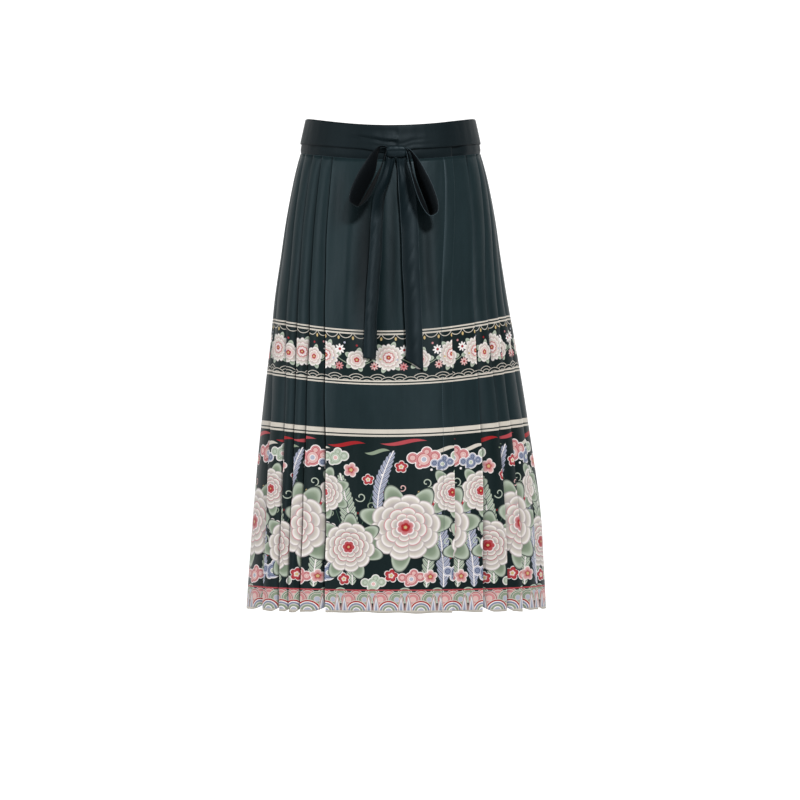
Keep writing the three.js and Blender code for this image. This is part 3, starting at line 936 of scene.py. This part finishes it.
def width_lines(front_table, back_table, outer_front, rows, seed):
    """All columns of one width, as angles and distances out at each row.

    Then how many are in its pleats, which ones lie deep beside a fold, and which ones are the edges of folds.
    """
    share = rows[1]
    outer_edge = look_up(FOLD_LEVELS, OUTER_EDGE, share)
    inner_edge = look_up(FOLD_LEVELS, INNER_EDGE, share)
    front, front_stretches = half_side(front_table, 1, rows, seed)
    back, back_stretches = half_side(back_table[::-1], -1, rows, seed + 20)
    corners = front + back[::-1]
    stretches = front_stretches + [SIDE] + back_stretches[::-1]

    pleats = []
    creases, edges = [], [0, PANEL_COLUMNS]
    for k, (columns, bulge) in enumerate(stretches):
        (a0, n0), (a1, n1) = corners[k], corners[k + 1]
        if (columns, bulge) == STRIP:
            forward = stretches[k - 1] == HIDDEN
            creases.append(PANEL_COLUMNS + len(pleats) + (0 if forward else columns))
            edges.append(PANEL_COLUMNS + len(pleats) + (columns if forward else 0))
        for step in range(columns):
            f = step / columns
            rise = f
            if (columns, bulge) == STRIP:
                rise = 1 - (1 - f) ** STRIP_RISE if forward else f**STRIP_RISE
            pleats.append((mix(a0, a1, f), mix(n0, n1, rise) + bulge * 4 * f * (1 - f) * (0.45 + share)))
    pleats.append(corners[-1])
    last = PANEL_COLUMNS + len(pleats) - 1
    edges += [last, last + PANEL_COLUMNS]

    def outer(angle):
        return 0 * angle

    def inner_front(angle):
        return -INNER_PANEL_DEPTH * smooth_step(-angle, -corners[0][0], -outer_edge)

    def inner_back(angle):
        return -INNER_PANEL_DEPTH * smooth_step(angle, corners[-1][0], 180 - outer_edge)

    front_free = -outer_edge if outer_front else -inner_edge
    back_free = 180 + (inner_edge if outer_front else outer_edge)
    front_line = panel_lines(corners[0], front_free, outer if outer_front else inner_front)
    back_line = panel_lines(corners[-1], back_free, inner_back if outer_front else outer)
    line = front_line + pleats + back_line[::-1]
    angle = np.stack([a + 0 * share for a, _ in line], axis=1)
    out = np.stack([n + 0 * share for _, n in line], axis=1)
    return angle, out, len(pleats), creases, edges


# How much lower the printed bands lie at the front than on the flat cloth, at places down it, what share
# of that they do at the back, and how much higher they lie at the right side.
MOST_LIFT = 16
PRINT_LIFT = [(0, 0), (60, 0), (350, MOST_LIFT), (510, 11), (700, 3), (806.5, 0)]
BACK_LIFT = 0.4
PRINT_TILT = 3


def print_place(angle, below):
    """How far down the flat cloth each point of the worn skirt is."""
    lift = look_up(*zip(*PRINT_LIFT), below)
    c = np.cos(np.radians(angle))
    s = np.sin(np.radians(angle))
    return below - lift * np.where(c > 0, c * c, BACK_LIFT * c * c) + PRINT_TILT * s * (lift / MOST_LIFT)


def pleated_width(name, front_table, back_table, outer_front, seed, materials):
    share = np.linspace(0, 1, CLOTH_ROWS)
    below = BAND_HEIGHT - SEWN_IN + share * (CLOTH_LENGTH + SEWN_IN)
    lines = width_lines(front_table, back_table, outer_front, (below, share), seed)
    angle, out, pleat_columns, creases, edges = lines
    sewn = smooth_step(share[:, None], 0, 0.02)
    out = BAND["out"] + (out - BAND["out"]) * mix(0.3, 1, sewn)
    sign = -1 if outer_front else 1
    shorter = share[:, None] ** 6 * (np.maximum(-out, 0) * 1.1 - 2.2 + 1.2 * wander(seed, angle / 40))
    deep = below[:, None] - shorter
    points = place(sign * angle, out, deep)

    # The flat cloth: the panels are cut to one width, and the pleats to three.
    row = int(CLOTH_ROWS * 0.8)
    steps = np.linalg.norm(np.diff(points[row], axis=0), axis=1)
    along = np.concatenate([[0], np.cumsum(steps)])
    first, last = PANEL_COLUMNS, PANEL_COLUMNS + pleat_columns - 1
    pleated = (along - along[first]) / (along[last] - along[first]) * PLEATED_WIDTH
    front_flat = (along[:first] - along[first]) / along[first] * PANEL_WIDTH
    back_flat = PLEATED_WIDTH + (along[last:] - along[last]) / (along[-1] - along[last]) * PANEL_WIDTH
    flat = np.concatenate([front_flat, pleated[first:last], back_flat])
    u = sign * (flat + PANEL_WIDTH / 2)
    uv = stack(u[None, :], print_place(sign * angle, deep))
    if sign < 0:
        points, uv = points[:, ::-1], uv[:, ::-1]
    mesh = grid_mesh(name, points, uv)
    stitched = TURNED_EDGE.index(STITCHED_AT)
    seams = [stitched, len(flat) - 1 - stitched]
    # Attributes for painted light and shade: darker near the columns where a strip comes out from under a
    # fold (painted shade in the crease), lighter near fold edges and free edges (painted highlight), a mark
    # on the stitched line for the thread, and the listed places of painted shade.
    deep_reach = 4.4 + 4.2 * np.abs(np.sin(2 * np.radians(angle)))
    for attribute, columns, reach in (
        ("crease_shade", creases, deep_reach),
        ("fold", edges, 1.3),
        ("seam", seams, 0.5),
    ):
        near = np.abs(flat[None, :] - flat[columns][:, None]).min(axis=0)
        strength = 0.78 + 0.22 * wander(seed + len(columns), share[:, None] * 1.6 + flat[None, :] / 190)
        values = np.exp(-((near / reach) ** 3)) * (1 + 0 * strength if attribute == "seam" else strength)
        point_attribute(mesh, attribute, values[:, ::sign])
    point_attribute(mesh, "painted_shade", drape(sign * angle, deep, PAINTED_SHADE_PLACES)[:, ::sign])

    middle = uv[:-1, :-1, 1].reshape(-1)
    slots = np.zeros(len(mesh.polygons), int)
    slots[(middle > NARROW_BAND["top"] - 9) & (middle < NARROW_BAND["bottom"] + 3)] = 1
    slots[middle > WIDE_BAND["top"] - 12] = 2
    piece = new_piece(name, mesh, [name.replace("_cloth", "")], materials)
    mesh.polygons.foreach_set("material_index", slots.tolist())
    thicken(piece, CLOTH_THICKNESS, 3)
    return piece


# The waistband, the tie and the bow

def waistband(materials):
    """The stiff band, once round and over its own start, in soft waves."""
    turned = np.linspace(0, BAND["turn"], 420)[None, :]
    down = np.array([0, 0.5, 1.4, 3, 6, 10, 16, 22, 28, 34, 40, 46, 51, 55, 57.2, 58.6, 59.4, 60])[:, None]
    angle = OUTER_EDGE[0] - turned
    out = BAND["out"] - BAND["sink"] * smooth_step(turned, BAND["sink from"], BAND["sink to"])
    upper_seam = np.exp(-(((down - SEAM_INSET) / 0.8) ** 2))
    lower_seam = np.exp(-(((down - BAND_HEIGHT + SEAM_INSET) / 0.8) ** 2))
    seam = -0.35 * (upper_seam + lower_seam)
    waves = 0.5 * wander(11, turned / 33) * np.sin(math.pi * down / BAND_HEIGHT)
    tucked = -1.9 * smooth_step(down, 50, 60)
    points = place(angle, out + seam + tucked + np.minimum(waves, 0.35), down)
    a, b, _ = girth(30)
    uv = stack(turned / 360 * math.pi * (a + b), down)
    mesh = grid_mesh("waistband_cloth", points[:, ::-1], uv[:, ::-1])
    piece = new_piece("waistband_cloth", mesh, ["waistband"], materials)
    thicken(piece, BAND_THICKNESS)
    return piece


# Creases of the tie that run to the knot: side, reach in degrees, where across the tie they start and end
# (0 at its upper edge, 1 at its lower one), how wide and how deep they are. A negative depth is a ridge.
TIE_CREASES = [
    ("left", 34, 0.47, 0.63, 2.2, 3.6),
    ("left", 30, 0.36, 0.5, 3.0, -1.5),
    ("left", 22, 0.8, 0.76, 2.6, 0.9),
    ("left", 52, 0.30, 0.2, 5.0, 0.6),
    ("right", 24, 0.6, 0.68, 3.0, 0.9),
    ("right", 30, 0.84, 0.8, 2.8, 0.8),
    ("right", 46, 0.4, 0.32, 6.0, 0.4),
]


def tie_wrap(materials):
    a, b, _ = girth(BAND_HEIGHT)
    knot_angle = math.degrees(math.asin(KNOT["x"] / a))
    turned = np.linspace(-180, 180, 480, endpoint=False)[None, :]
    across = np.linspace(0, 1, 25)[:, None]
    full = smooth_step(np.abs(turned), 3, np.where(turned > 0, TIE["right"], TIE["left"]))
    upper = TIE["upper"]
    lower = mix(TIE["knot lower"], TIE["lower"], full)
    width = lower - upper
    out = 0
    for side, reach, start, end, wide, deep in TIE_CREASES:
        away = turned if side == "right" else -turned
        share = np.clip(away / reach, 0, 1) + np.where(away < -1, 1, 0)
        line = mix(end, start, share)
        off = (across - line) * width / wide
        out = out - deep * np.exp(-off * off) * (1 - share) ** 0.8 * np.where(share < 1, 1, 0)
    waves = 0.35 * wander(23, turned / 27) * np.sin(math.pi * across)
    edge = -0.3 * (np.exp(-across * width / 1.2) + np.exp(-(1 - across) * width / 1.2))
    angle = knot_angle + turned
    out = TIE_OUT + np.maximum(out, -1.6) * 0.9 + 0.45 + waves * 0.6 + edge
    points = place(angle, out, mix(upper, lower, across))
    uv = stack(turned / 360 * math.pi * (a + b), 4 + across * 52)
    mesh = grid_mesh("tie_cloth", points, uv, closed=True)
    piece = new_piece("tie_cloth", mesh, ["tie_wrap"], materials)
    thicken(piece, TIE_THICKNESS)
    return piece


def bow_knot(materials):
    """The ribbon wrapped once over the bow's middle, gathered into uneven upright folds."""
    z = BAND_TOP - KNOT["down"]
    centre = np.array([KNOT["x"], front_surface(KNOT["x"], z) - KNOT_OUT, z])
    half = np.array([KNOT["width"] / 2, KNOT["depth"] / 2, KNOT["height"] / 2])
    across = np.linspace(-1, 1, 49)[None, :]
    around = np.linspace(0, 2 * math.pi, 65)[:-1][:, None]
    end = (1 - np.abs(across) ** 5) ** 0.3
    y = -np.cos(around)
    up = np.sin(around)
    size = (np.abs(y) ** 3.2 + np.abs(up) ** 3.2) ** (1 / 3.2)
    folds = sum(deep * np.exp(-(((across - at - 0.12 * up) / wide) ** 2))
                for at, wide, deep in ((-0.55, 0.22, 0.06), (0.1, 0.16, 0.04), (0.62, 0.2, 0.07)))
    lap = 0.3 + 0.08 * across
    dent = 0.16 * smooth_step(lap - up, 0, 0.16) * np.maximum(-y, 0)
    grow = end * (1 - folds * (0.6 + 0.4 * np.cos(around * 2))) - dent
    points = stack(
        centre[0] + half[0] * across * (1 - 0.06 * up),
        centre[1] + half[1] * y / size * grow,
        centre[2] + half[2] * up / size * grow,
    )
    uv = stack(half[0] * across, 30 * around / math.pi)
    turned = np.swapaxes(points, 0, 1)
    mesh = grid_mesh("bow_knot_cloth", turned, np.swapaxes(uv, 0, 1), closed=True)
    return new_piece("bow_knot_cloth", mesh, ["bow_knot"], materials, 60)


def bow_loop(loop, materials):
    """One loop of ribbon: out of the knot's side, down, round and back to the knot's side."""
    z = BAND_TOP - LOOP_ENDS["down"]
    start = np.array([KNOT["x"] + loop["side"] * (KNOT["width"] / 2 - 1.5), z])
    tilt = math.radians(loop["tilt"])
    axis = np.array([loop["side"] * math.sin(tilt), -math.cos(tilt)])
    sideways = np.array([loop["side"] * math.cos(tilt), math.sin(tilt)])
    surface = front_surface(start[0], z)
    share = np.linspace(0, 1, 121)
    turn = 2 * math.pi * share
    reach = loop["length"] * (1 - np.cos(turn)) / 2
    outer = loop["outer"] * np.sqrt(np.abs(np.sin(turn))) * np.sin(turn / 2) ** loop["early"]
    inner = loop["inner"] * np.sin(turn) * np.abs(np.sin(turn / 2)) ** 1.4
    wide = np.where(share < 0.5, outer, inner)
    middle = start + reach[:, None] * axis + wide[:, None] * sideways
    middle[:, 1] += LOOP_ENDS["apart"] / 2 * np.cos(turn / 2)
    along = np.gradient(middle, axis=0)
    normal = np.stack([along[:, 1], -along[:, 0]], axis=1) / np.linalg.norm(along, axis=1)[:, None]

    far = np.linspace(0, 1, 17)[None, :]
    full = smooth_step(np.minimum(share, 1 - share), 0, LOOP_RIBBON["spreads"])[:, None]
    ribbon = mix(LOOP_RIBBON["at knot"], LOOP_RIBBON["full"], full)
    near = mix(KNOT_OUT + LOOP_RIBBON["at knot"] / 2, LOOP_RIBBON["out"], full)
    near_knot = 1 - smooth_step(np.minimum(share, 1 - share), 0.02, 0.24)[:, None]
    gathers = 0.8 * near_knot * np.sin(far * math.pi * 2.6 + 0.6) + 0.9 * np.sin(far * math.pi) * full
    inward = -0.97 * far**0.7 * full * wide[:, None]
    x = middle[:, :1] + 0.4 * loop["far x"] * far * full**2 + normal[:, :1] * gathers + inward * sideways[0]
    z = middle[:, 1:] + normal[:, 1:] * gathers + inward * sideways[1]
    points = stack(x, surface - near + ribbon * far * (1 + 0.2 * full), z)
    length = np.concatenate([[0], np.cumsum(np.linalg.norm(np.diff(middle, axis=0), axis=1))])
    uv = stack((far - 0.5) * LOOP_RIBBON["full"], length[:, None])
    mesh = grid_mesh(loop["name"] + "_cloth", points, uv)
    piece = new_piece(loop["name"] + "_cloth", mesh, [loop["name"]], materials[:: -loop["side"]])
    thicken(piece, RIBBON_THICKNESS, 1)
    return piece, float(length[-1])


def bow_tail(tail, materials):
    """One tail: a ribbon that leaves the knot gathered, comes to its width and hangs a little curled."""
    top = KNOT["down"] + KNOT["height"] / 2 - 2
    bottom = tail["middles"][-1][0]
    rows = np.linspace(0, 1, 100)[:, None]
    v = np.linspace(-1, 1, 23)[None, :]
    down = mix(top, bottom, rows)
    full = smooth_step(down - top, 0, TAIL_AT_KNOT["spreads"])
    half = mix(TAIL_AT_KNOT["width"] + 4, tail["ribbon"], full) / 2
    turn = np.radians(tail["turn"]) * full * (1.06 + 0.1 * wander(tail["ribbon"], rows * 1.6))
    curl = math.radians(tail["curl"]) * (1.08 + 0.12 * wander(tail["ribbon"] + 5, rows * 1.3))
    x = look_up(*zip(*tail["middles"]), down)
    out = mix(TAIL_AT_KNOT["out"], tail["out"], smooth_step(down - top, 0, TAIL_AT_KNOT["settles"]))
    across = half / curl * (np.sin(turn + curl * v) - np.sin(turn))
    outwards = half / curl * (np.cos(turn) - np.cos(turn + curl * v))
    folds = 0.6 * (1 - full) * np.sin(v * 5) + 0.5 * full * wander(tail["ribbon"] + 2, rows * 3 + v * 0.25)
    z = BAND_TOP - down - tail["slant"] * (v + 1) / 2 * rows**4
    points = stack(x + across, front_surface(x + across, z) - out - outwards - np.abs(folds), z)
    uv = stack(v * tail["ribbon"] / 2, down)
    mesh = grid_mesh(tail["name"] + "_cloth", points, uv)
    piece = new_piece(tail["name"] + "_cloth", mesh, [tail["name"]], materials)
    thicken(piece, RIBBON_THICKNESS)
    return piece, bottom - top


# Stage, lights and camera

PHOTO_SCALE = 1.656  # mm of the skirt's middle plane for a pixel of the photograph
PHOTO_MIDDLE_X = 390.5
PHOTO_TOP = 119.5
CAMERA_DISTANCE = 8000
PICTURE_SIZE = 800
SENSOR_SIZE = 36
FLOOR_BELOW_HEM = 400
HEM_Z = BAND_TOP - SKIRT_LENGTH
COVE = {"radius": 11000, "bend": 1500, "height": 8000, "grey": 0.36}
BACKDROP_GLOW = {"near": 0.15, "far": 0.96, "blend in m": 3}
LIGHTS_AIM = Vector((0, 0, -380))
WORLD_LIGHT = 0.1


def stage():
    """A round cove: a pale floor that bends up into a wall, brighter on the far side from the camera."""
    material = new_material("backdrop")
    tree = material.node_tree
    shader = tree.nodes["Principled BSDF"]
    set_inputs(shader, {
        "Base Color": (COVE["grey"], COVE["grey"], COVE["grey"], 1),
        "Roughness": 0.9,
        "Emission Color": (1, 1, 1, 1),
    })
    coordinates = tree.nodes.new("ShaderNodeTexCoord")
    split = tree.nodes.new("ShaderNodeSeparateXYZ")
    link(coordinates.outputs["Object"], split.inputs[0])
    near, far = BACKDROP_GLOW["near"], BACKDROP_GLOW["far"]
    depth = Value(tree, split.outputs[1])
    far_side = depth.math("MULTIPLY_ADD", 1 / BACKDROP_GLOW["blend in m"], 0.5, clamp=True)
    glow = far_side.times_plus(far - near, near)
    link(glow.socket, shader.inputs["Emission Strength"])
    floor_z = HEM_Z - FLOOR_BELOW_HEM
    radius, bend = COVE["radius"], COVE["bend"]
    profile = [(0, floor_z), (600, floor_z), (radius - bend, floor_z)]
    for k in range(1, 13):
        turn = math.pi / 2 * k / 12
        profile.append((radius - bend + bend * math.sin(turn), floor_z + bend * (1 - math.cos(turn))))
    profile.append((radius, floor_z + COVE["height"]))
    around = np.linspace(0, 2 * math.pi, 96, endpoint=False)
    points = np.array([[(r * math.cos(a), r * math.sin(a), z) for a in around] for r, z in profile])
    mesh = grid_mesh("backdrop", points, closed=True)
    mesh.materials.append(material)
    mesh.polygons.foreach_set("use_smooth", [True] * len(mesh.polygons))
    backdrop = add_object("backdrop", mesh)


def area_light(name, place_mm, size_mm, power):
    light = bpy.data.lights.new(name, "AREA")
    light.shape = "RECTANGLE"
    light.size, light.size_y = (s * MM for s in size_mm)
    light.energy = power
    lamp = add_object(name, light)
    lamp.location = Vector(place_mm) * MM
    lamp.rotation_euler = (LIGHTS_AIM - Vector(place_mm)).to_track_quat("-Z", "Y").to_euler()


def lights():
    world = bpy.data.worlds.new("studio")
    world.use_nodes = True
    set_inputs(world.node_tree.nodes["Background"], {"Color": (1, 1, 1, 1), "Strength": WORLD_LIGHT})
    bpy.context.scene.world = world
    area_light("key", (800, -2850, 1900), (450, 450), 108)
    area_light("fill", (-2600, -2000, 600), (800, 1400), 28)


def camera():
    data = bpy.data.cameras.new("camera")
    data.sensor_width = SENSOR_SIZE
    data.lens = SENSOR_SIZE * CAMERA_DISTANCE / (PICTURE_SIZE * PHOTO_SCALE)
    data.clip_end = 50
    eye = add_object("camera", data)
    eye.location = (
        (PICTURE_SIZE / 2 - PHOTO_MIDDLE_X) * PHOTO_SCALE * MM,
        -CAMERA_DISTANCE * MM,
        (BAND_TOP - (PICTURE_SIZE / 2 - PHOTO_TOP) * PHOTO_SCALE) * MM,
    )
    eye.rotation_euler = (math.radians(90), 0, 0)
    bpy.context.scene.camera = eye


camera()
stage()
lights()

SATIN = [plain_satin(), narrow_print(), wide_print()]
SATIN += [plain_cloth("satin_reverse", "satin")] * 3
BAND_SATIN = [band_satin()]
# The loops' inner faces get a near-black satin as painted shade inside the loops; the outer faces a ribbon
# satin with a painted highlight on its edges.
LOOP_SATIN = [plain_cloth("loop_inside_painted_shade", "deep", 0.5, 0.6), ribbon_with_edge_highlight(14, 1)]
WIDER_RIBBON = [ribbon_with_edge_highlight(16, 0.35)]
KNOT_SATIN = [plain_cloth("ribbon_plain", "ribbon")]

LEFT = pleated_width("skirt_left_cloth", LEFT_FRONT_FOLDS, LEFT_BACK_FOLDS, True, 3, SATIN)
RIGHT = pleated_width("skirt_right_cloth", RIGHT_FRONT_FOLDS, RIGHT_BACK_FOLDS, False, 61, SATIN)
waistband(BAND_SATIN)
tie_wrap(BAND_SATIN)
bow_knot(KNOT_SATIN)
for loop in LOOPS:
    ribbon, ribbon_length = bow_loop(loop, LOOP_SATIN)
    ribbon_length * MM
for tail in TAILS:
    ribbon, ribbon_length = bow_tail(tail, WIDER_RIBBON)
    tail["ribbon"] * MM
    ribbon_length * MM

bpy.context.scene.view_settings.view_transform = "Standard"
